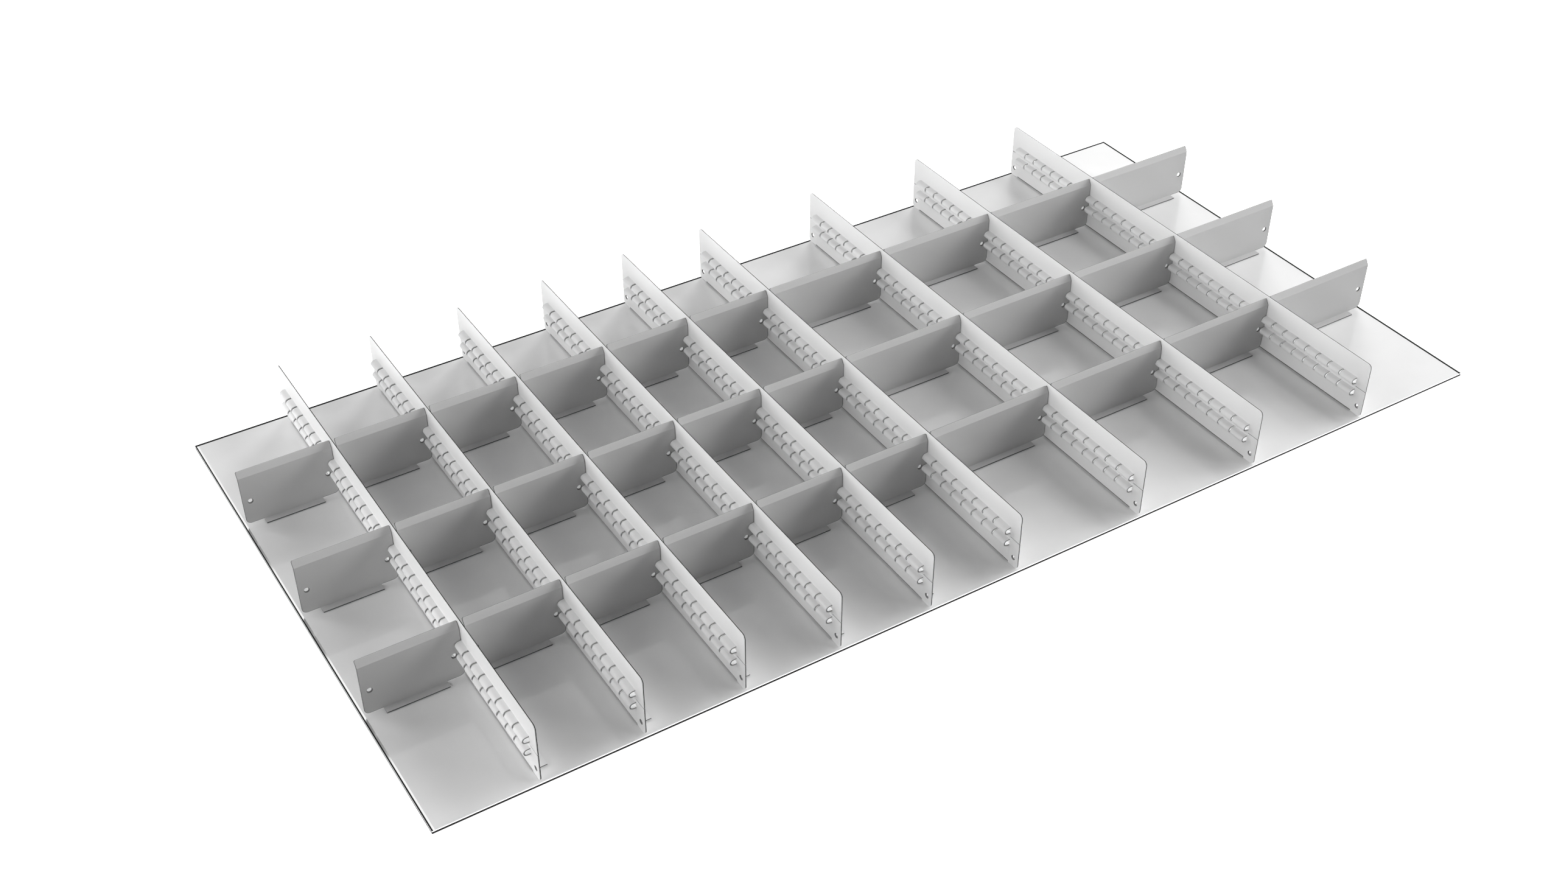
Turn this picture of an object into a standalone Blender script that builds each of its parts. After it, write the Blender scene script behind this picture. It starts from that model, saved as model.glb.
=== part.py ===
"""Drawer organizer insert in coated sheet steel, modelled at full size in metres with +Z up.

One base sheet carries nine slotted partition walls that run from front to back, and thirty cross dividers
that stand between them in three rows. Each wall has two rows of pressed beads on its left face, hollow and
open at the back and the ends. Slots cut through both rows every 12.75 mm take the end of a divider, which
lifts straight up and out.

The origin is under the middle of the base sheet, on its underside. +X runs along the long side to the
right, and +Y from the front edge to the back edge.
"""

import math

import bmesh
import bpy

# Base sheet
BASE_LENGTH = 0.918
BASE_WIDTH = 0.459
BASE_THICKNESS = 0.0025

# Coated sheet that the walls and dividers are bent from
SHEET = 0.001
BEND_INSIDE_RADIUS = 0.0003
BEND_OUTSIDE_RADIUS = BEND_INSIDE_RADIUS + SHEET
BEND_STEPS = 1
RESTING_GAP = 0.0003

# Grid: the small module is a slot pitch, six of them make the narrow bay and nine the wide bay
SLOT_PITCH = 0.01275
NARROW_BAY = 6 * SLOT_PITCH
WIDE_BAY = 9 * SLOT_PITCH
NARROW_BAYS = 6
WIDE_BAYS = 4

# Partition walls: the right face of each sheet stands on a grid line
WALL_LENGTH = 0.4578
WALL_HEIGHT = 0.0505
WALL_CORNER_RADIUS = 0.0035
WALL_FOOT_WIDTH = 0.0094
WALL_FOOT_END_MARGIN = 0.0106
WALL_RELIEF = 0.0004
WALL_HOLE_RADIUS = 0.00215
WALL_HOLE_FROM_END = 0.0052
WALL_HOLE_HEIGHT = 0.0081
WALL_SLIT_HEIGHT = 0.0245
WALL_SLIT_WIDTH = 0.0005
WALL_SLIT_LENGTH = 0.0097

# Pressed bead rows on the left face of a wall
BEAD_DEPTH = 0.00525
BEAD_ROOT_IN_SHEET = 0.0005
BEAD_ROW_END_MARGIN = 0.0108
BEAD_CREST_THICKNESS = 0.0010
BEAD_HOLLOW_HALF_WIDTH = 0.0032
BEAD_HOLLOW_OVERRUN = 0.0002
UPPER_BEAD = {"foot": 0.0260, "crest_low": 0.0287, "crest_high": 0.0313, "head": 0.0330}
LOWER_BEAD = {"foot": 0.0158, "crest_low": 0.0185, "crest_high": 0.0211, "head": 0.0230}
SLOT_WIDTH = 0.0016
FIRST_SLOT = 2
LAST_SLOT = 34

# Cross dividers
DIVIDER_ROWS = {"front": 9, "middle": 18, "back": 27}
DIVIDER_LEFT_GAP = 0.0025
DIVIDER_RIGHT_GAP = 0.0003
DIVIDER_BEND_HEIGHT = 0.0436
DIVIDER_LIP_RISE = 0.0050
DIVIDER_LIP_LEAN = 0.0030
DIVIDER_BOTTOM_RADIUS = 0.0040
DIVIDER_TOP_RADIUS = 0.0018
DIVIDER_FOOT_DEPTH = 0.0052
DIVIDER_FOOT_INSET = 0.0134
DIVIDER_HOLE_RADIUS = 0.00225
DIVIDER_HOLE_FROM_END = 0.0061
DIVIDER_HOLE_HEIGHT = 0.0210

CORNER_STEPS = 2
TOP_CORNER_STEPS = 1
HOLE_SIDES = 8

# sRGB colours of the coatings, with roughness
COATINGS = {
    "base_coating": ((0.86, 0.86, 0.86), 0.30),
    "wall_coating": ((0.84, 0.84, 0.84), 0.45),
    "divider_coating": ((0.78, 0.78, 0.78), 0.45),
}


def linear(value):
    """One sRGB channel as linear light."""
    return value / 12.92 if value <= 0.04045 else ((value + 0.055) / 1.055) ** 2.4


def coating(name):
    """Principled material for one coated steel surface."""
    colour, roughness = COATINGS[name]
    material = bpy.data.materials.new(name)
    material.use_nodes = True
    shader = material.node_tree.nodes["Principled BSDF"]
    shader.inputs["Base Color"].default_value = (*(linear(c) for c in colour), 1.0)
    shader.inputs["Roughness"].default_value = roughness
    shader.inputs["Metallic"].default_value = 0.0
    return material


def corner(centre_a, centre_b, radius, start_degrees, steps=CORNER_STEPS):
    """Points of a quarter circle, counter-clockwise from start_degrees, in a flat pattern."""
    points = []
    for step in range(steps + 1):
        angle = math.radians(start_degrees + 90.0 * step / steps)
        points.append((centre_a + radius * math.cos(angle), centre_b + radius * math.sin(angle)))
    return points


def sheet_solid(face_points, back_points, faces):
    """Closed bent sheet: one face given, its matching back points, and the cut edge all round."""
    solid = bmesh.new()
    face_verts = [solid.verts.new(point) for point in face_points]
    back_verts = [solid.verts.new(point) for point in back_points]
    used = {}
    for loop in faces:
        solid.faces.new([face_verts[i] for i in loop])
        solid.faces.new([back_verts[i] for i in reversed(loop)])
        for i, j in zip(loop, loop[1:] + loop[:1]):
            used[(i, j)] = True
    for i, j in used:
        if (j, i) not in used:
            solid.faces.new([face_verts[j], face_verts[i], back_verts[i], back_verts[j]])
    return solid


def add_prism(solid, outline, low, high, place):
    """Add a closed prism: place turns an outline point and a distance along the sweep into x, y, z."""
    low_verts = [solid.verts.new(place(a, b, low)) for a, b in outline]
    high_verts = [solid.verts.new(place(a, b, high)) for a, b in outline]
    solid.faces.new(reversed(low_verts))
    solid.faces.new(high_verts)
    count = len(outline)
    for i in range(count):
        j = (i + 1) % count
        solid.faces.new([low_verts[i], low_verts[j], high_verts[j], high_verts[i]])


def round_outline(centre_a, centre_b, radius, sides):
    """Regular polygon that stands for a drilled hole."""
    angles = [2.0 * math.pi * (side + 0.5) / sides for side in range(sides)]
    return [(centre_a + radius * math.cos(t), centre_b + radius * math.sin(t)) for t in angles]


def box_outline(a_low, a_high, b_low, b_high):
    return [(a_low, b_low), (a_high, b_low), (a_high, b_high), (a_low, b_high)]


def temporary_object(solid, name):
    """Object in the scene that holds a finished solid while it is cut and joined."""
    bmesh.ops.recalc_face_normals(solid, faces=solid.faces)
    mesh = bpy.data.meshes.new(name)
    solid.to_mesh(mesh)
    solid.free()
    item = bpy.data.objects.new(name, mesh)
    bpy.context.scene.collection.objects.link(item)
    return item


def joined_mesh(name, body, steps):
    """Mesh of the body after each (operation, tool object) step, with the working objects removed."""
    for operation, tool in steps:
        step = body.modifiers.new(operation.lower(), "BOOLEAN")
        step.operation = operation
        step.solver = "EXACT"
        step.object = tool
    bpy.context.view_layer.update()
    finished = body.evaluated_get(bpy.context.evaluated_depsgraph_get())
    mesh = bpy.data.meshes.new_from_object(finished)
    mesh.name = name
    for item in [body] + [tool for _, tool in steps]:
        bpy.data.objects.remove(item)
    return mesh


def bent_foot(bend_corner, direction, foot_reach):
    """Face and back points of a 90 degree bend and the flat foot after it.

    The sheet comes down between across = bend_corner and its other face one sheet thickness away, turns
    towards direction (+1 or -1 along the across axis) and ends foot_reach from the bend's start. Returns two
    lists of (across, z): the inside of the bend and the outside.
    """
    centre = bend_corner + direction * BEND_INSIDE_RADIUS
    inside = []
    outside = []
    for step in range(1, BEND_STEPS + 1):
        angle = 0.5 * math.pi * step / BEND_STEPS
        for points, radius in ((inside, BEND_INSIDE_RADIUS), (outside, BEND_OUTSIDE_RADIUS)):
            across = centre - direction * radius * math.cos(angle)
            points.append((across, BEND_OUTSIDE_RADIUS - radius * math.sin(angle)))
    inside.append((bend_corner + direction * foot_reach, SHEET))
    outside.append((bend_corner + direction * foot_reach, 0.0))
    return inside, outside


def wall_mesh():
    """Slotted partition wall: x = 0 on its right face, y = 0 at its front end, z = 0 under its foot."""
    radius = WALL_CORNER_RADIUS
    foot_front = WALL_FOOT_END_MARGIN
    foot_back = WALL_LENGTH - WALL_FOOT_END_MARGIN
    bend_start = BEND_OUTSIDE_RADIUS

    outline = [(foot_front, bend_start), (foot_back, bend_start)]
    outline += [(foot_back + WALL_RELIEF, bend_start), (foot_back + WALL_RELIEF, 0.0)]
    outline += corner(WALL_LENGTH - radius, radius, radius, -90.0)
    outline += corner(WALL_LENGTH - radius, WALL_HEIGHT - radius, radius, 0.0)
    outline += corner(radius, WALL_HEIGHT - radius, radius, 90.0)
    outline += corner(radius, radius, radius, 180.0)
    outline += [(foot_front - WALL_RELIEF, 0.0), (foot_front - WALL_RELIEF, bend_start)]

    right_points = [(0.0, y, z) for y, z in outline]
    left_points = [(-SHEET, y, z) for y, z in outline]
    faces = [list(range(len(outline)))]

    inside, outside = bent_foot(0.0, 1.0, WALL_FOOT_WIDTH)
    front_index, back_index = 0, 1
    for (inside_x, inside_z), (outside_x, outside_z) in zip(inside, outside):
        next_front = len(right_points)
        for y in (foot_front, foot_back):
            right_points.append((inside_x, y, inside_z))
            left_points.append((outside_x, y, outside_z))
        faces.append([next_front, next_front + 1, back_index, front_index])
        front_index, back_index = next_front, next_front + 1
    body = temporary_object(sheet_solid(right_points, left_points, faces), "wall_sheet")

    beads = bmesh.new()
    cuts = [SLOT_PITCH * slot - (BASE_WIDTH - WALL_LENGTH) / 2 for slot in range(FIRST_SLOT, LAST_SLOT + 1)]
    starts = [BEAD_ROW_END_MARGIN] + [cut + SLOT_WIDTH / 2 for cut in cuts]
    ends = [cut - SLOT_WIDTH / 2 for cut in cuts] + [WALL_LENGTH - BEAD_ROW_END_MARGIN]
    for row in (UPPER_BEAD, LOWER_BEAD):
        root = -SHEET + BEAD_ROOT_IN_SHEET
        crest = -SHEET - BEAD_DEPTH
        outline = [(root, row["foot"]), (root, row["head"])]
        outline += [(-SHEET, row["head"]), (crest, row["crest_high"])]
        outline += [(crest, row["crest_low"]), (-SHEET, row["foot"])]
        for start, end in zip(starts, ends):
            add_prism(beads, outline, start, end, lambda a, b, along: (a, along, b))
    bead_rows = temporary_object(beads, "wall_beads")

    cutters = bmesh.new()
    reach = 2 * SHEET
    for end_y, inward in ((0.0, 1.0), (WALL_LENGTH, -1.0)):
        hole_y = end_y + inward * WALL_HOLE_FROM_END
        hole = round_outline(hole_y, WALL_HOLE_HEIGHT, WALL_HOLE_RADIUS, HOLE_SIDES)
        add_prism(cutters, hole, -reach, reach, lambda a, b, along: (along, a, b))
        slit_ends = sorted((end_y - inward * reach, end_y + inward * WALL_SLIT_LENGTH))
        slit_low = WALL_SLIT_HEIGHT - WALL_SLIT_WIDTH / 2
        slit = box_outline(*slit_ends, slit_low, slit_low + WALL_SLIT_WIDTH)
        add_prism(cutters, slit, -reach, reach, lambda a, b, along: (along, a, b))
    for row in (UPPER_BEAD, LOWER_BEAD):
        middle = (row["foot"] + row["head"]) / 2
        mouth = BEAD_HOLLOW_HALF_WIDTH * (1.0 + SHEET / (BEAD_DEPTH + SHEET - BEAD_CREST_THICKNESS))
        hollow = [(SHEET, middle - mouth), (SHEET, middle + mouth)]
        hollow.append((-SHEET - BEAD_DEPTH + BEAD_CREST_THICKNESS, middle))
        start = BEAD_ROW_END_MARGIN - BEAD_HOLLOW_OVERRUN
        add_prism(cutters, hollow, start, WALL_LENGTH - start, lambda a, b, along: (a, along, b))
    openings = temporary_object(cutters, "wall_openings")

    return joined_mesh("wall", body, [("UNION", bead_rows), ("DIFFERENCE", openings)])


def divider_mesh(name, length):
    """Cross divider: x = 0 at its middle, y = 0 in the middle of its sheet, z = 0 under its foot."""
    half = length / 2
    front = -SHEET / 2
    back = SHEET / 2
    bend_start = BEND_OUTSIDE_RADIUS
    foot_half = half - DIVIDER_FOOT_INSET
    lean = math.atan2(DIVIDER_LIP_LEAN, DIVIDER_LIP_RISE)
    lip = math.hypot(DIVIDER_LIP_LEAN, DIVIDER_LIP_RISE)
    mitre = SHEET * math.tan(lean / 2)

    low = DIVIDER_BOTTOM_RADIUS
    panel = [(-foot_half, bend_start), (foot_half, bend_start)]
    panel += corner(half - low, bend_start + low, low, -90.0)
    panel += [(half, DIVIDER_BEND_HEIGHT), (-half, DIVIDER_BEND_HEIGHT)]
    panel += corner(-half + low, bend_start + low, low, 180.0)
    front_points = [(x, front, z) for x, z in panel]
    back_points = [(x, back, z) for x, z in panel]
    bend_right = 2 + CORNER_STEPS + 1
    bend_left = bend_right + 1
    for index in (bend_right, bend_left):
        x, y, z = back_points[index]
        back_points[index] = (x, y, z - mitre)
    faces = [list(range(len(panel)))]

    top = DIVIDER_TOP_RADIUS
    lip_outline = corner(half - top, lip - top, top, 0.0, TOP_CORNER_STEPS)
    lip_outline += corner(-half + top, lip - top, top, 90.0, TOP_CORNER_STEPS)
    lip_start = len(front_points)
    for x, along in lip_outline:
        y = front + along * math.sin(lean)
        z = DIVIDER_BEND_HEIGHT + along * math.cos(lean)
        front_points.append((x, y, z))
        back_points.append((x, y + SHEET * math.cos(lean), z - SHEET * math.sin(lean)))
    lip_indices = list(range(lip_start, lip_start + len(lip_outline)))
    faces.append([bend_left, bend_right] + lip_indices)

    inside, outside = bent_foot(front, -1.0, DIVIDER_FOOT_DEPTH)
    left_index, right_index = 0, 1
    for (inside_y, inside_z), (outside_y, outside_z) in zip(inside, outside):
        next_left = len(front_points)
        for x in (-foot_half, foot_half):
            front_points.append((x, inside_y, inside_z))
            back_points.append((x, outside_y, outside_z))
        faces.append([next_left, next_left + 1, right_index, left_index])
        left_index, right_index = next_left, next_left + 1
    body = temporary_object(sheet_solid(front_points, back_points, faces), "divider_sheet")

    cutters = bmesh.new()
    reach = 2 * SHEET
    for side in (-1.0, 1.0):
        hole_x = side * (half - DIVIDER_HOLE_FROM_END)
        hole = round_outline(hole_x, DIVIDER_HOLE_HEIGHT, DIVIDER_HOLE_RADIUS, HOLE_SIDES)
        add_prism(cutters, hole, -reach, reach, lambda a, b, along: (a, along, b))
    holes = temporary_object(cutters, "divider_holes")
    return joined_mesh(name, body, [("DIFFERENCE", holes)])


def base_mesh():
    """Flat base sheet with its underside at z = 0."""
    solid = bmesh.new()
    outline = box_outline(-BASE_LENGTH / 2, BASE_LENGTH / 2, -BASE_WIDTH / 2, BASE_WIDTH / 2)
    add_prism(solid, outline, 0.0, BASE_THICKNESS, lambda a, b, along: (a, b, along))
    bmesh.ops.recalc_face_normals(solid, faces=solid.faces)
    mesh = bpy.data.meshes.new("base_sheet")
    solid.to_mesh(mesh)
    solid.free()
    return mesh


def add_piece(name, mesh, location, assembly):
    """One separate piece of the insert, placed under the assembly."""
    piece = bpy.data.objects.new(name, mesh)
    bpy.context.scene.collection.objects.link(piece)
    piece.location = location
    piece.parent = assembly
    return piece


def build():
    for item in list(bpy.data.objects):
        bpy.data.objects.remove(item)
    assembly = bpy.data.objects.new("drawer_organizer_insert", None)
    bpy.context.scene.collection.objects.link(assembly)
    coatings = {name: coating(name) for name in COATINGS}

    left_edge = -BASE_LENGTH / 2
    front_edge = -BASE_WIDTH / 2
    standing_height = BASE_THICKNESS + RESTING_GAP
    bays = [NARROW_BAY] * NARROW_BAYS + [WIDE_BAY] * WIDE_BAYS
    grid_lines = [left_edge + sum(bays[:count]) for count in range(len(bays) + 1)]

    base = base_mesh()
    base.materials.append(coatings["base_coating"])
    add_piece("base_sheet", base, (0.0, 0.0, 0.0), assembly)

    wall = wall_mesh()
    wall.materials.clear()
    wall.materials.append(coatings["wall_coating"])
    wall_front = -WALL_LENGTH / 2
    for number, grid_x in enumerate(grid_lines[1:-1], start=1):
        add_piece(f"wall_{number}", wall, (grid_x, wall_front, standing_height), assembly)

    divider_shapes = {}
    for name, bay in (("narrow_divider", NARROW_BAY), ("wide_divider", WIDE_BAY)):
        length = bay - SHEET - DIVIDER_LEFT_GAP - DIVIDER_RIGHT_GAP
        shape = divider_mesh(name, length)
        shape.materials.clear()
        shape.materials.append(coatings["divider_coating"])
        divider_shapes[bay] = shape

    for row, slot in DIVIDER_ROWS.items():
        row_y = front_edge + slot * SLOT_PITCH
        for number, bay in enumerate(bays, start=1):
            left_end = grid_lines[number - 1] + DIVIDER_LEFT_GAP
            right_end = grid_lines[number] - SHEET - DIVIDER_RIGHT_GAP
            location = ((left_end + right_end) / 2, row_y, standing_height)
            add_piece(f"divider_{row}_{number}", divider_shapes[bay], location, assembly)


build()
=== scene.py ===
# %% [markdown]
# # Drawer organizer insert
#
# The real object is a set of bent sheet steel partitions that stand on a flat sheet in a workshop drawer.
# Nine long walls run from front to back, and thirty short dividers stand between them in slots.
# The frame gives each piece's place and size, so every mesh below is built in that frame, in metres, +Z up.

# %% Load the frame
import math

import bmesh
import bpy
from mathutils import Matrix, Vector


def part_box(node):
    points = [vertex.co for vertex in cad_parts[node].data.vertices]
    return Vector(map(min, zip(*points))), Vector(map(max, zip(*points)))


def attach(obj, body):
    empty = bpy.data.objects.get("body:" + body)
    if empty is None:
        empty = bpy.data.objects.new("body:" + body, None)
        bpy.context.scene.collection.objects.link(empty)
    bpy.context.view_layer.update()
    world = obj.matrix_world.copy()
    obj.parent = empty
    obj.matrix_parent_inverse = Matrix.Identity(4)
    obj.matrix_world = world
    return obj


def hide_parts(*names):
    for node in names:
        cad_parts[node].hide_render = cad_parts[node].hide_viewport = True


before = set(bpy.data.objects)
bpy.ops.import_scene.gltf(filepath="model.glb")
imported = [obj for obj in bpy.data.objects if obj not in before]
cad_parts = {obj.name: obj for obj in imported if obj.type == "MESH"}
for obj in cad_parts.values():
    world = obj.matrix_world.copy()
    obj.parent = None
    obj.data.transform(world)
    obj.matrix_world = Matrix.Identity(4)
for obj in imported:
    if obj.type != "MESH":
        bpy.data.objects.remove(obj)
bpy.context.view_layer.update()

MM = 0.001

# %% [markdown]
# ## Colour and node helpers
#
# Paint makers give colours as sRGB hex values, while the shader works in linear light, so one function
# turns one into the other. A second small function adds a node, sets it up and plugs its inputs in. No
# real coat is one flat tone, so a third lets the base colour drift between two close greys.

# %% Helpers for materials


def linear_light(hex_colour):
    """An sRGB hex colour, such as '#d8d8d6', as linear red, green, blue and alpha."""
    channels = [int(hex_colour[i:i + 2], 16) / 255 for i in (1, 3, 5)]
    linear = [c / 12.92 if c <= 0.04045 else ((c + 0.055) / 1.055) ** 2.4 for c in channels]
    return (*linear, 1.0)


def add_node(tree, kind, values=None, links=None, **settings):
    """A node with its settings, socket values and incoming links; links maps a socket to an output."""
    node = tree.nodes.new(kind)
    for name, value in settings.items():
        setattr(node, name, value)
    for name, value in (values or {}).items():
        node.inputs[name].default_value = value
    for name, output in (links or {}).items():
        tree.links.new(output, node.inputs[name])
    return node


def new_material(name, **values):
    """A material with a Principled shader whose constant sockets are set by name."""
    material = bpy.data.materials.new(name)
    material.use_nodes = True
    shader = material.node_tree.nodes["Principled BSDF"]
    for socket, value in values.items():
        shader.inputs[socket.replace("_", " ")].default_value = value
    return material, material.node_tree, shader


def mottle(tree, shader, vector, light, dark, noise):
    """Base colour that drifts between two close tones over a noise."""
    cloud = add_node(tree, "ShaderNodeTexNoise", noise, {"Vector": vector})
    tone = add_node(tree, "ShaderNodeMix", {"A": linear_light(light), "B": linear_light(dark)},
                    data_type="RGBA")
    tree.links.new(cloud.outputs["Fac"], tone.inputs["Factor"])
    tree.links.new(tone.outputs[2], shader.inputs["Base Color"])


print("mid grey in linear light:", round(linear_light("#808080")[0], 3))

# %% [markdown]
# ## Powder coat on the walls and dividers
#
# Powder is sprayed on dry and baked, so it flows into a hard skin with a faint orange peel, a few
# millimetres from one crest to the next. It gives a satin sheen with soft edges to the highlights.
# Noise drives a very low bump for the peel, and a second, wider noise shifts the grey by a hair. The peel
# could be modelled as real waves, but it is far too low to show in the outline. The dividers are a darker
# grey than the walls, and part of that darkening is painted shade for their half-shaded fronts.

# %% Powder coat
PEEL_WIDTH = 1.8 * MM
PEEL_HEIGHT = 0.05 * MM
SATIN = 0.40


def powder_coat(name, light, dark):
    material, tree, shader = new_material(name, Roughness=SATIN, IOR=1.5, Metallic=0.0,
                                          Specular_IOR_Level=0.3)
    place = add_node(tree, "ShaderNodeTexCoord").outputs["Object"]
    mottle(tree, shader, place, light, dark, {"Scale": 12.0, "Detail": 3.0, "Roughness": 0.5})
    peel = add_node(tree, "ShaderNodeTexNoise", {"Scale": 1.0 / PEEL_WIDTH, "Detail": 2.0}, {"Vector": place})
    bump = add_node(tree, "ShaderNodeBump", {"Strength": 0.10, "Distance": PEEL_HEIGHT},
                    {"Height": peel.outputs["Fac"]})
    tree.links.new(bump.outputs["Normal"], shader.inputs["Normal"])
    return material


wall_coat = powder_coat("powder_coated_steel_wall", "#e6e6e6", "#e2e2e2")
# The divider grey sits below the walls' grey partly as painted shade on the divider fronts.
divider_coat = powder_coat("powder_coated_steel_divider", "#c0c0c0", "#bcbcbc")
print("powder coats:", wall_coat.name, divider_coat.name)

# %% [markdown]
# ## Cut edges
#
# A shear cuts the first part of the sheet cleanly and then tears the rest. Powder holds on the clean band,
# while the torn band stays bare and dark. Powder also pulls back from a sharp corner as it melts, so the
# same dark steel shows as a hairline along an arris. The insides of punched holes are half covered, so
# they are lighter. All of it is matt, with fine marks about 1 mm apart left by the tool.

# %% Cut edge finishes
TOOL_MARK = 1.0 * MM


def cut_steel(name, light, dark):
    material, tree, shader = new_material(name, Roughness=0.6, IOR=1.5, Metallic=0.0,
                                          Specular_IOR_Level=0.15)
    place = add_node(tree, "ShaderNodeTexCoord").outputs["Object"]
    mottle(tree, shader, place, light, dark, {"Scale": 1.0 / TOOL_MARK, "Detail": 2.0})
    return material


# The torn finish also paints shade along the bend of each wall's foot, where the wall meets the base.
torn_edge_and_shade = cut_steel("torn_steel_edge_and_painted_shade", "#222222", "#181818")
# The punched finish also paints the shadow line beside each wall slot.
punched_edge_and_shade = cut_steel("punched_steel_edge_and_painted_shade", "#848484", "#747474")
print("cut edges:", torn_edge_and_shade.name, punched_edge_and_shade.name)

# %% [markdown]
# ## Burnished band on the base
#
# On the thick base sheet the clean band is wide enough to see. The blade rubs it bright, so it mirrors
# the white room. It is bare metal with fine upright rub marks, about 0.3 mm apart, so the noise is
# stretched along the height.

# %% Burnished band
RUB_MARK = 0.3 * MM
UPRIGHT = (1.0, 1.0, 0.05)
burnished_edge, tree, shader = new_material("burnished_steel_edge", Metallic=1.0, Roughness=0.15)
place = add_node(tree, "ShaderNodeTexCoord").outputs["Object"]
stretch = add_node(tree, "ShaderNodeMapping", {"Scale": UPRIGHT}, {"Vector": place})
mottle(tree, shader, stretch.outputs["Vector"], "#fbfbfb", "#f4f4f4",
       {"Scale": 1.0 / RUB_MARK, "Detail": 2.0})
print("burnished band:", burnished_edge.name)

# %% [markdown]
# ## Lacquer on the base sheet
#
# The base is smoother than the partitions: a rolled sheet with a thin lacquer that mirrors the dividers
# faintly. Lacquer over paint could be two layers, but one smooth layer with a slightly raised index of
# refraction gives the same faint mirror.

# %% Lacquered base
base_lacquer, tree, shader = new_material("lacquered_steel_sheet", Roughness=0.05, IOR=1.65, Metallic=0.0)
place = add_node(tree, "ShaderNodeTexCoord").outputs["Object"]
mottle(tree, shader, place, "#ececec", "#e4e4e4", {"Scale": 30.0, "Detail": 4.0})
print("base lacquer:", base_lacquer.name)

# %% [markdown]
# ## Bent sheet as one closed skin
#
# Every partition is one flat blank of 1 mm steel that was punched and bent. The helper below keeps each
# point of the blank as a pair, one on each face of the sheet, so thickness stays even round a bend. Faces
# that share a pair are joined, and every open border gets two strips, one clean and one torn.
#
# Holes are punched afterwards, with one Boolean for each sheet. They are slightly dished, wider at the
# visible face, because a coat is thinner on a hole's mouth than inside it. Thickening a flat surface with
# a modifier would be shorter, but it would give the cut edges no bands of their own.

# %% Bent sheet helper
SHEET = 1.0 * MM
CLEAN_CUT = 0.4  # share of the thickness that the shear cuts cleanly
# HAIRLINE is also the width of the painted shadow line beside each wall slot.
HAIRLINE = 0.25 * MM  # bare line where the powder pulls back from a corner
DISH_SLOPE = 0.6  # growth of a hole's radius across the thickness
HOLE_SIDES = 24
COATED, TORN_AND_SHADE, PUNCHED_AND_SHADE = 0, 1, 2


class BentSheet:
    """Collects faces over pairs of points, (one face, other face), and closes them into one skin."""

    def __init__(self):
        self.pairs = []
        self.index = {}
        self.faces = []

    def point(self, one, other):
        key = tuple(round(coordinate, 7) for coordinate in (*one, *other))
        if key not in self.index:
            self.index[key] = len(self.pairs)
            self.pairs.append((one, other))
        return self.index[key]

    def face(self, pairs, finish=COATED):
        """One face of the blank; the finish is for its first side, and the other side is coated."""
        loop = [self.point(*pair) for pair in pairs]
        if len(set(loop)) > 2:
            self.faces.append((loop, finish))

    def solid(self):
        """Both sides of every face, and a clean and a torn strip along each border."""
        skin = bmesh.new()
        one = [skin.verts.new(pair[0]) for pair in self.pairs]
        other = [skin.verts.new(pair[1]) for pair in self.pairs]
        edges = {}
        for loop, finish in self.faces:
            skin.faces.new([one[i] for i in loop]).material_index = finish
            skin.faces.new([other[i] for i in reversed(loop)])
            edges.update(dict.fromkeys(zip(loop, loop[1:] + loop[:1])))
        between = {}
        for i, j in edges:
            if (j, i) in edges:
                continue
            for k in (i, j):
                if k not in between:
                    between[k] = skin.verts.new(one[k].co.lerp(other[k].co, CLEAN_CUT))
            skin.faces.new([one[j], one[i], between[i], between[j]])
            torn = skin.faces.new([between[j], between[i], other[i], other[j]])
            torn.material_index = TORN_AND_SHADE
        bmesh.ops.recalc_face_normals(skin, faces=skin.faces)
        return skin


def arc(centre_a, centre_b, radius, start, end, steps):
    """Points along an arc, in degrees from start to end."""
    angles = [math.radians(start + (end - start) * step / steps) for step in range(steps + 1)]
    return [(centre_a + radius * math.cos(t), centre_b + radius * math.sin(t)) for t in angles]


def mesh_from(skin, name, finishes, smooth_angle=40.0):
    """Mesh with its finishes, smooth over bends and sharp at cut edges."""
    mesh = bpy.data.meshes.new(name)
    skin.to_mesh(mesh)
    skin.free()
    for finish in finishes:
        mesh.materials.append(finish)
    for face in mesh.polygons:
        face.use_smooth = True
    mesh.set_sharp_from_angle(angle=math.radians(smooth_angle))
    return mesh


def punched(mesh, cutter_skin, name, finishes, smooth_angle=40.0):
    """The mesh after a punch has gone through it; the walls of the holes are punched edge."""
    for face in cutter_skin.faces:
        face.material_index = PUNCHED_AND_SHADE
    bmesh.ops.recalc_face_normals(cutter_skin, faces=cutter_skin.faces)
    cutter_mesh = mesh_from(cutter_skin, "punch", finishes)
    blank = bpy.data.objects.new("blank", mesh)
    punch = bpy.data.objects.new("punch", cutter_mesh)
    for item in (blank, punch):
        bpy.context.scene.collection.objects.link(item)
    cut = blank.modifiers.new("punch", "BOOLEAN")
    cut.operation = "DIFFERENCE"
    cut.solver = "EXACT"
    cut.object = punch
    bpy.context.view_layer.update()
    evaluated = blank.evaluated_get(bpy.context.evaluated_depsgraph_get())
    result = bpy.data.meshes.new_from_object(evaluated)
    result.name = name
    for item in (blank, punch):
        bpy.data.objects.remove(item)
    for face in result.polygons:
        face.use_smooth = True
    result.set_sharp_from_angle(angle=math.radians(smooth_angle))
    return result


def add_punch(skin, outlines, low, high, place):
    """A punch swept from low to high, between the outline at each end."""
    low_ring = [skin.verts.new(place(a, b, low)) for a, b in outlines[0]]
    high_ring = [skin.verts.new(place(a, b, high)) for a, b in outlines[1]]
    skin.faces.new(list(reversed(low_ring)))
    skin.faces.new(high_ring)
    for i in range(len(low_ring)):
        j = (i + 1) % len(low_ring)
        skin.faces.new([low_ring[i], low_ring[j], high_ring[j], high_ring[i]])


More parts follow.
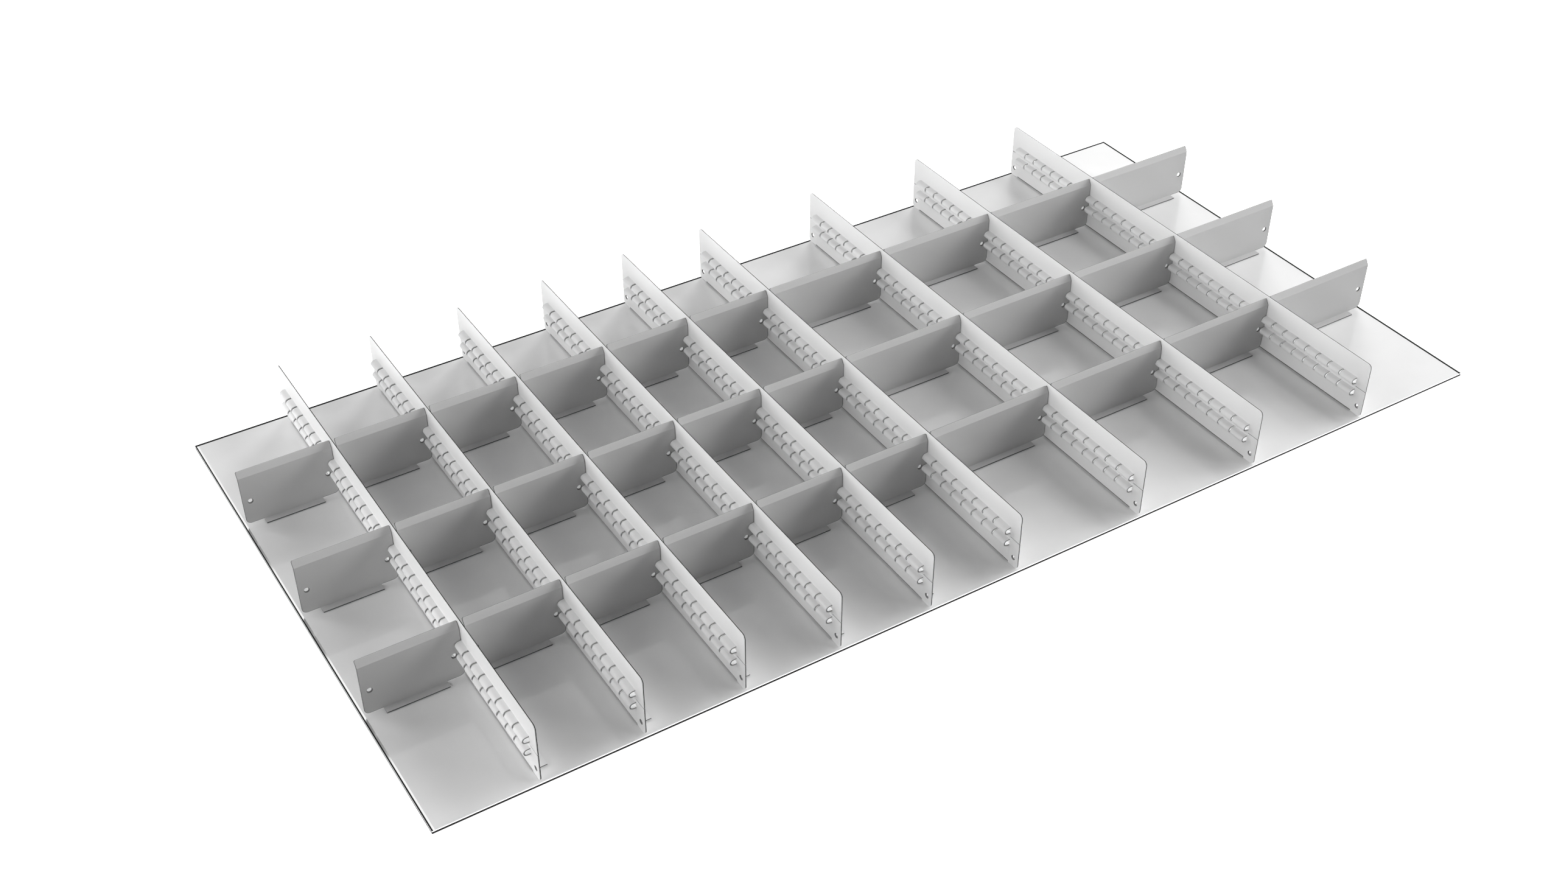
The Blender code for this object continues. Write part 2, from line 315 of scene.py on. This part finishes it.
def dished_hole(centre_a, centre_b, mouth):
    """Outlines of a hole half a sheet beyond each face, wider at the low end than at the high end."""
    radii = [mouth + DISH_SLOPE * reach * SHEET for reach in (0.5, -1.5)]
    last_angle = 360 - 360 / HOLE_SIDES
    return [arc(centre_a, centre_b, radius, 0, last_angle, HOLE_SIDES - 1) for radius in radii]


print("sheet, mm:", SHEET / MM, "with a clean cut of", CLEAN_CUT * SHEET / MM)

# %% [markdown]
# ## Partition wall
#
# A wall is an upright web with a foot bent to one side. Two rows of half-tube beads are pressed out of
# the web to the left, open at the back and at both ends, and narrow slots cut them into short lengths.
# The cross-section is drawn once, from the foot's tip to the top edge, and swept along the wall. The
# slots are gaps in that sweep, so each cut shows the hollow bead with its 1 mm skin.

# %% Wall cross-section
wall_low, wall_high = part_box("wall_1")
WALL_LENGTH = wall_high.y - wall_low.y
WALL_HEIGHT = wall_high.z - wall_low.z
FOOT_REACH = 9.4 * MM
BEND_IN, BEND_OUT = 0.3 * MM, 1.3 * MM
BEAD_DEPTH = 5.25 * MM
BEAD_CREST_RADIUS = 2.4 * MM
BEAD_ROOT_RADIUS = 0.7 * MM
BEAD_FLANK = math.radians(4.0)
UPPER_BEAD_HEIGHT = 29.8 * MM
LOWER_BEAD_HEIGHT = 18.9 * MM
ROW_START = 10.8 * MM
SLOT_PITCH = 12.75 * MM
SLOT_WIDTH = 1.3 * MM
ROOT_STEPS, CREST_STEPS, BEND_STEPS = 3, 8, 5


def bead_section(centre_z):
    """Pairs of points, left and right face, along one bead from its lower root to its upper root."""
    sin_f, cos_f, tan_f = math.sin(BEAD_FLANK), math.cos(BEAD_FLANK), math.tan(BEAD_FLANK)
    flank_depth = BEAD_DEPTH - BEAD_CREST_RADIUS * (1 - sin_f) - BEAD_ROOT_RADIUS * (1 - sin_f)
    half = tan_f * flank_depth + (BEAD_CREST_RADIUS + BEAD_ROOT_RADIUS) * cos_f
    flank_degrees = 90.0 - math.degrees(BEAD_FLANK)
    section = []
    for step in range(ROOT_STEPS + 1):
        turn = math.radians(flank_degrees * step / ROOT_STEPS)
        z = -half + BEAD_ROOT_RADIUS * math.sin(turn)
        depth = BEAD_ROOT_RADIUS * (1 - math.cos(turn))
        section.append((z, depth, -math.sin(turn), math.cos(turn)))
    for step in range(CREST_STEPS + 1):
        turn = math.radians(flank_degrees * (1 - 2 * step / CREST_STEPS))
        z = -BEAD_CREST_RADIUS * math.sin(turn)
        depth = BEAD_DEPTH - BEAD_CREST_RADIUS * (1 - math.cos(turn))
        section.append((z, depth, -math.sin(turn), math.cos(turn)))
    section += [(-z, depth, -nz, nd) for z, depth, nz, nd in reversed(section[:ROOT_STEPS + 1])]
    pairs = []
    for z, depth, normal_z, normal_depth in section:
        middle_x, middle_z = -SHEET / 2 - depth, centre_z + z
        left = (middle_x - normal_depth * SHEET / 2, middle_z + normal_z * SHEET / 2)
        right = (middle_x + normal_depth * SHEET / 2, middle_z - normal_z * SHEET / 2)
        pairs.append((left, right))
    return pairs


foot = [((FOOT_REACH, 0.0), (FOOT_REACH, SHEET))]
for (out_x, out_z), (in_x, in_z) in zip(arc(BEND_IN, BEND_OUT, BEND_OUT, 270, 180, BEND_STEPS),
                                        arc(BEND_IN, BEND_OUT, BEND_IN, 270, 180, BEND_STEPS)):
    foot.append(((out_x, out_z), (in_x, in_z)))
lower_bead = bead_section(LOWER_BEAD_HEIGHT)
upper_bead = bead_section(UPPER_BEAD_HEIGHT)
top_edge = [((-SHEET, WALL_HEIGHT), (0.0, WALL_HEIGHT))]
section = foot + lower_bead + upper_bead + top_edge
lower_start, upper_start = len(foot), len(foot) + len(lower_bead)
upper_end = upper_start + len(upper_bead) - 1 - ROOT_STEPS
# A slot removes the section rows in slotted; beside it, only on the rows in lined, a line of painted shadow
# marks the slot gap.
slotted = {*range(lower_start, upper_start - 1), *range(upper_start, upper_end)}
apex = ROOT_STEPS + 1 + CREST_STEPS // 2
lined = {row for row in slotted if row >= upper_start + apex or lower_start + apex - 2 <= row < upper_start}
print("wall section has", len(section), "points; bead rows at", LOWER_BEAD_HEIGHT, UPPER_BEAD_HEIGHT)

# %% [markdown]
# ## Wall mesh
#
# The sweep runs from slot to slot, with a line of painted shadow beside each slot. The two ends of a wall
# have no foot and no beads: they are flat tabs with rounded corners, a small locating hole and a fine slit
# in line with the web between the rows.

# %% Wall mesh
CORNER = 3.5 * MM
TAB_GAP = 0.4 * MM
TAB_HOLE_INSET, TAB_HOLE_HEIGHT, TAB_HOLE_RADIUS = 5.2 * MM, 8.1 * MM, 2.1 * MM
SLIT_LOW, SLIT_HIGH, SLIT_STOP = 24.25 * MM, 24.75 * MM, 0.5 * MM
FIRST_SLOT, LAST_SLOT = 2, 34
base_low, base_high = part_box("base_sheet")
cuts = [SLOT_PITCH * k + base_low.y - wall_low.y for k in range(FIRST_SLOT, LAST_SLOT + 1)]
stations = [(ROW_START, "bead")]
for cut_y in cuts:
    stations += [(cut_y - SLOT_WIDTH / 2 - HAIRLINE, "line"), (cut_y - SLOT_WIDTH / 2, "slot"),
                 (cut_y + SLOT_WIDTH / 2, "line"), (cut_y + SLOT_WIDTH / 2 + HAIRLINE, "bead")]
stations.append((WALL_LENGTH - ROW_START, "tab"))

wall_sheet = BentSheet()
for (start, span), (end, _) in zip(stations, stations[1:]):
    for row, (a, b) in enumerate(zip(section, section[1:])):
        if span == "slot" and row in slotted:
            continue
        # The punched finish on a line span is painted shadow of the slot gap.
        finish = PUNCHED_AND_SHADE if span == "line" and row in lined else COATED
        wall_sheet.face([tuple((x, y, z) for x, z in pair) for pair, y in
                         ((a, start), (a, end), (b, end), (b, start))], finish)

flat = [pair for pair in section[len(foot) - 1:] if math.isclose(pair[0][0], -SHEET, abs_tol=1e-7)]
for end_y, row_y, inward in ((0.0, ROW_START, 1), (WALL_LENGTH, WALL_LENGTH - ROW_START, -1)):
    outline = [(row_y - inward * TAB_GAP, BEND_OUT), (row_y - inward * TAB_GAP, 0.0)]
    low_corner = arc(CORNER, CORNER, CORNER, 270, 180, 6)
    high_corner = arc(CORNER, WALL_HEIGHT - CORNER, CORNER, 180, 90, 6)
    outline += [(end_y + inward * a, b) for a, b in low_corner + high_corner]
    outline += [(row_y, pair[0][1]) for pair in reversed(flat)]
    if inward < 0:
        outline.reverse()
    wall_sheet.face([((-SHEET, y, z), (0.0, y, z)) for y, z in outline][::-1])

# The dark finish along the bend of the foot is painted shade where the wall meets the base, while the ends of
# slots and rows are half covered.
wall_skin = wall_sheet.solid()
wall_skin.normal_update()
for face in wall_skin.faces:
    centre = face.calc_center_median()
    in_rows = ROW_START - SHEET < centre.y < WALL_LENGTH - ROW_START + SHEET
    # The dark finish on the outside of the foot's bend is painted shade where the wall meets the base.
    if in_rows and face.normal.x < -0.5 and centre.z < BEND_OUT - SHEET / 10:
        face.material_index = TORN_AND_SHADE
    elif in_rows and face.material_index == TORN_AND_SHADE and BEND_OUT < centre.z < WALL_HEIGHT - SHEET:
        face.material_index = PUNCHED_AND_SHADE
wall_finishes = [wall_coat, torn_edge_and_shade, punched_edge_and_shade]
wall_blank = mesh_from(wall_skin, "wall_blank", wall_finishes)
punches = bmesh.new()
for end_y, inward in ((0.0, 1), (WALL_LENGTH, -1)):
    hole = dished_hole(end_y + inward * TAB_HOLE_INSET, TAB_HOLE_HEIGHT, TAB_HOLE_RADIUS)
    add_punch(punches, hole, -1.5 * SHEET, 0.5 * SHEET, lambda a, b, along: (along, a, b))
    near, far = sorted((end_y - inward * SHEET, end_y + inward * (ROW_START - SLIT_STOP)))
    outline = [(near, SLIT_LOW), (far, SLIT_LOW), (far, SLIT_HIGH), (near, SLIT_HIGH)]
    add_punch(punches, (outline, outline), -2 * SHEET, SHEET, lambda a, b, along: (along, a, b))
wall_mesh = punched(wall_blank, punches, "wall", wall_finishes)
print("wall mesh:", len(wall_mesh.polygons), "faces")

# %% [markdown]
# ## Nine walls
#
# All nine walls come off one tool, so they share one mesh. Each takes its place from its box in the frame.

# %% Place the walls
WALLS = 9
for number in range(1, WALLS + 1):
    low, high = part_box(f"wall_{number}")
    wall = bpy.data.objects.new(f"partition_wall_{number}", wall_mesh)
    bpy.context.scene.collection.objects.link(wall)
    wall.location = (high.x - FOOT_REACH, low.y, low.z)
    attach(wall, "base_and_walls")
    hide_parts(f"wall_{number}")
print("walls placed:", WALLS)

# %% [markdown]
# ## Cross divider
#
# A divider is a short panel with rounded lower corners. A foot is bent forward between two notches, and
# the top lip leans back, which stiffens the edge and gives the fingers something to hold. The right half
# of the outline is drawn once and mirrored, with a narrow bare line along the ends.

# %% Divider mesh
LIP_RISE, LIP_LEAN = 5.0 * MM, 3.0 * MM
DIVIDER_BEND_Z = 43.6 * MM
LOW_RADIUS, TOP_RADIUS = 4.0 * MM, 1.0 * MM
DIVIDER_FOOT = 5.2 * MM
FOOT_INSET = 13.4 * MM
DIVIDER_HOLE_INSET, DIVIDER_HOLE_HEIGHT, DIVIDER_HOLE_RADIUS = 6.1 * MM, 21.0 * MM, 2.2 * MM
BEND_SMOOTHING = 20.0
HALF_SHEET = SHEET / 2


def divider_mesh(name, length):
    """One divider, centred on its length, with its front face half a sheet before y = 0."""
    half = length / 2
    foot_half = half - FOOT_INSET
    lean = math.atan2(LIP_LEAN, LIP_RISE)
    lip = math.hypot(LIP_LEAN, LIP_RISE)
    blank = BentSheet()

    def upright(x, z):
        return (x, -HALF_SHEET, z), (x, HALF_SHEET, z)

    def mirrored(pair):
        return tuple((-x, y, z) for x, y, z in pair)

    def bend_line(x):
        back_z = DIVIDER_BEND_Z - SHEET * math.tan(lean / 2)
        return (x, -HALF_SHEET, DIVIDER_BEND_Z), (x, HALF_SHEET, back_z)

    def leaning(x, along):
        y, z = -HALF_SHEET + along * math.sin(lean), DIVIDER_BEND_Z + along * math.cos(lean)
        return (x, y, z), (x, y + SHEET * math.cos(lean), z - SHEET * math.sin(lean))

    def low_corner(inset):
        return arc(half - LOW_RADIUS, BEND_OUT + LOW_RADIUS, LOW_RADIUS - inset, 270, 360, 8)

    def top_corner(inset):
        return arc(half - TOP_RADIUS, lip - TOP_RADIUS, TOP_RADIUS - inset, 0, 90, 6)

    edge = [upright(foot_half, BEND_OUT)] + [upright(x, z) for x, z in low_corner(0.0)]
    edge += [bend_line(half)] + [leaning(x, along) for x, along in top_corner(0.0)]
    inner = [upright(foot_half, BEND_OUT + HAIRLINE)] + [upright(x, z) for x, z in low_corner(HAIRLINE)]
    inner += [bend_line(half - HAIRLINE)] + [leaning(x, along) for x, along in top_corner(HAIRLINE)]
    bend = inner.index(bend_line(half - HAIRLINE))
    for outer_a, outer_b, inner_b, inner_a in zip(edge, edge[1:], inner[1:], inner):
        blank.face([outer_a, outer_b, inner_b, inner_a], TORN_AND_SHADE)
        blank.face([mirrored(pair) for pair in (inner_a, inner_b, outer_b, outer_a)], TORN_AND_SHADE)
    blank.face([mirrored(edge[-1]), mirrored(inner[-1]), inner[-1], edge[-1]])
    blank.face([mirrored(edge[0]), edge[0], inner[0], mirrored(inner[0])])
    panel_right = inner[:bend + 1]
    blank.face([mirrored(inner[0])] + panel_right + [mirrored(pair) for pair in reversed(panel_right[1:])])
    lip_right = inner[bend:]
    blank.face(lip_right + [mirrored(pair) for pair in reversed(lip_right)])

    inside = arc(-HALF_SHEET - BEND_IN, BEND_OUT, BEND_IN, 0, -90, BEND_STEPS)
    outside = arc(-HALF_SHEET - BEND_IN, BEND_OUT, BEND_OUT, 0, -90, BEND_STEPS)
    strip = list(zip(inside, outside))
    strip.append(((-HALF_SHEET - DIVIDER_FOOT, SHEET), (-HALF_SHEET - DIVIDER_FOOT, 0.0)))
    for (in_a, out_a), (in_b, out_b) in zip(strip, strip[1:]):
        near = ((foot_half, *in_a), (foot_half, *out_a))
        far = ((foot_half, *in_b), (foot_half, *out_b))
        blank.face([mirrored(far), far, near, mirrored(near)])

    finishes = [divider_coat, torn_edge_and_shade, punched_edge_and_shade]
    mesh = mesh_from(blank.solid(), name + "_blank", finishes, BEND_SMOOTHING)
    holes = bmesh.new()
    for side in (-1, 1):
        hole = dished_hole(side * (half - DIVIDER_HOLE_INSET), DIVIDER_HOLE_HEIGHT, DIVIDER_HOLE_RADIUS)
        add_punch(holes, hole, -SHEET, SHEET, lambda a, b, along: (a, along, b))
    return punched(mesh, holes, name, finishes, BEND_SMOOTHING)


print("divider lip, mm:", round(math.hypot(LIP_LEAN, LIP_RISE) / MM, 2))

# %% [markdown]
# ## Thirty dividers
#
# The bays have two widths, so there are two divider lengths and two meshes. Each divider rides on a body
# of its own, because it lifts out.

# %% Place the dividers
DIVIDERS_IN_ROW = 10
NARROW_LIMIT = 90 * MM
shapes = {}
for row in ("front", "middle", "back"):
    for number in range(1, DIVIDERS_IN_ROW + 1):
        low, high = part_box(f"divider_{row}_{number}")
        length = round(high.x - low.x, 5)
        kind = "narrow_divider" if length < NARROW_LIMIT else "wide_divider"
        if kind not in shapes:
            shapes[kind] = divider_mesh(kind, length)
            print(kind, "length, mm:", round(length / MM, 2))
        divider = bpy.data.objects.new(f"cross_divider_{row}_{number}", shapes[kind])
        bpy.context.scene.collection.objects.link(divider)
        divider.location = ((low.x + high.x) / 2, low.y + DIVIDER_FOOT + HALF_SHEET, low.z)
        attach(divider, f"divider_{row}_{number}")
        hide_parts(f"divider_{row}_{number}")

# %% [markdown]
# ## Base sheet
#
# The base is one flat sheet cut on a guillotine. A sheared edge has a bright burnished band above a dark
# band where the metal broke. Three sides were cut from below, so there the break is at the top, along the
# rim. The left rim also keeps the bright line that the clamp rubbed beside the cut. The bands could be
# painted on by position, but as faces of their own they stay crisp at any distance.

# %% Base sheet
RIM = 2.1 * MM
LEFT_RIM = 1.1 * MM
RUBBED = 1.3 * MM
BREAK = 1.8 * MM
BURNISHED = 2
xs = [base_low.x, base_low.x + LEFT_RIM, base_low.x + LEFT_RIM + RUBBED, base_high.x - RIM, base_high.x]
TOP_FINISH = (TORN_AND_SHADE, BURNISHED, COATED, TORN_AND_SHADE)
ys = [base_low.y, base_high.y - RIM, base_high.y]
zs = [base_low.z, base_low.z + BREAK, base_high.z]
plate = bmesh.new()
corners = {}


def corner(i, j, k):
    if (i, j, k) not in corners:
        corners[(i, j, k)] = plate.verts.new((xs[i], ys[j], zs[k]))
    return corners[(i, j, k)]


def panel(finish, *places):
    plate.faces.new([corner(*place) for place in places]).material_index = finish


last_i, last_j, last_k = len(xs) - 1, len(ys) - 1, len(zs) - 1
for i in range(last_i):
    for j in range(last_j):
        finish = TORN_AND_SHADE if j else TOP_FINISH[i]
        panel(finish, (i, j, last_k), (i + 1, j, last_k), (i + 1, j + 1, last_k), (i, j + 1, last_k))
        panel(COATED, (i, j, 0), (i, j + 1, 0), (i + 1, j + 1, 0), (i + 1, j, 0))
for k, finish in enumerate((TORN_AND_SHADE, BURNISHED)):
    for i in range(last_i):
        for j in (0, last_j):
            panel(finish, (i, j, k), (i + 1, j, k), (i + 1, j, k + 1), (i, j, k + 1))
    for j in range(last_j):
        for i in (0, last_i):
            panel(finish, (i, j, k), (i, j + 1, k), (i, j + 1, k + 1), (i, j, k + 1))
bmesh.ops.recalc_face_normals(plate, faces=plate.faces)
base_mesh = mesh_from(plate, "base", [base_lacquer, torn_edge_and_shade, burnished_edge])
base = bpy.data.objects.new("base_plate", base_mesh)
bpy.context.scene.collection.objects.link(base)
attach(base, "base_and_walls")
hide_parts("base_sheet")
print("base plate faces:", len(base_mesh.polygons))

# %% [markdown]
# ## Studio
#
# A white floor and a white room surround the part, but they are kept out of its diffuse light, because
# light from every side at once would wash the shadows out. Instead a dome of large soft lamps lights it,
# strongest from low behind, from the left and from the back right, so the fronts of the dividers fall into
# half shade. One smaller lamp high on the right throws the soft shadow that each wall leaves on the base.

# %% Floor and room
FLOOR_REACH = 12.0
FLOOR_DROP = 0.5 * MM
WHITE = linear_light("#ffffff")
floor_skin = bmesh.new()
floor_skin.faces.new([floor_skin.verts.new((x * FLOOR_REACH, y * FLOOR_REACH, -FLOOR_DROP))
                      for x, y in ((-1, -1), (1, -1), (1, 1), (-1, 1))])
paper, tree, shader = new_material("white_paper_floor", Roughness=0.9)
shader.inputs["Base Color"].default_value = WHITE
shader.inputs["Emission Color"].default_value = WHITE
shader.inputs["Emission Strength"].default_value = 1.0
floor = bpy.data.objects.new("floor", mesh_from(floor_skin, "floor", [paper]))
bpy.context.scene.collection.objects.link(floor)
floor.visible_diffuse = False
floor.visible_shadow = False

world = bpy.data.worlds.new("white_room")
world.use_nodes = True
sky = world.node_tree.nodes["Background"]
sky.inputs["Color"].default_value = WHITE
sky.inputs["Strength"].default_value = 1.0
world.cycles_visibility.diffuse = False
bpy.context.scene.world = world
print("floor and room are white, and lit from within")

# %% [markdown]
# ## Lamps
#
# Each lamp in the table has an azimuth and an elevation in degrees and a power in watts. Azimuth 0 is
# the right side of the part and 90 is its back. The lamps stay out of the reflections, so the coats and
# the lacquer mirror the plain white room only.

# %% Lamps
RING_DISTANCE = 5.0
RING_SIZE = 2.0
KEY_PLACE, KEY_SIZE, KEY_POWER = (0.96, -0.1, 1.23), 0.45, 4.5
LAMPS = (
    ("back", 90, 6, 147.0),
    ("back_left", 135, 6, 18.0),
    ("left", 180, 6, 86.0),
    ("front_left", 225, 6, 31.0),
    ("right", 335, 6, 58.0),
    ("low_back_left", 135, 15, 27.0),
    ("low_right", 350, 15, 71.0),
    ("raised_back_right", 45, 25, 117.0),
    ("raised_back", 90, 25, 11.0),
    ("raised_back_left", 135, 25, 25.0),
    ("raised_left", 180, 25, 15.0),
    ("raised_front_right", 315, 25, 58.0),
    ("raised_right", 340, 25, 33.0),
    ("high_left", 180, 35, 35.0),
    ("high_right", 340, 35, 34.0),
    ("top_back_left", 135, 50, 9.0),
    ("top_left", 180, 50, 19.0),
    ("overhead", 0, 90, 10.0),
)


def softbox(name, place, size, power):
    """A round area lamp that faces the middle of the part."""
    lamp = bpy.data.lights.new(name, "AREA")
    lamp.shape = "DISK"
    lamp.size = size
    lamp.energy = power
    item = bpy.data.objects.new(name, lamp)
    bpy.context.scene.collection.objects.link(item)
    item.location = place
    item.rotation_euler = (-Vector(place)).to_track_quat("-Z", "Y").to_euler()
    item.visible_glossy = False


for name, azimuth, elevation, power in LAMPS:
    turn, lift = math.radians(azimuth), math.radians(elevation)
    across = math.cos(lift)
    direction = Vector((across * math.cos(turn), across * math.sin(turn), math.sin(lift)))
    softbox(name, direction * RING_DISTANCE, RING_SIZE, power)
softbox("key", KEY_PLACE, KEY_SIZE, KEY_POWER)
print("lamps:", len(LAMPS) + 1)

# %% [markdown]
# ## Camera
#
# The camera stands in front of the left half of the part, about 1.5 m away, and looks down from the front
# left over the walls. Two directions set its turn, so it needs no target.

# %% Camera
SENSOR_WIDTH, FOCAL_LENGTH = 36.0, 43.48
CAMERA_PLACE = Vector((-0.68607, -1.00769, 0.92102))
camera_data = bpy.data.cameras.new("camera")
camera_data.sensor_width = SENSOR_WIDTH
camera_data.lens = FOCAL_LENGTH
camera = bpy.data.objects.new("camera", camera_data)
bpy.context.scene.collection.objects.link(camera)
forward = Vector((0.417446, 0.668369, -0.615648)).normalized()
right = Vector((0.848075, -0.529876, -0.000206)).normalized()
up = right.cross(forward)
pose = Matrix((right, up, -forward)).transposed().to_4x4()
pose.translation = CAMERA_PLACE
camera.matrix_world = pose
camera_data.clip_end = 100.0
bpy.context.scene.camera = camera
bpy.context.scene.view_settings.view_transform = "Standard"
print("camera distance, m:", round(CAMERA_PLACE.length, 2))
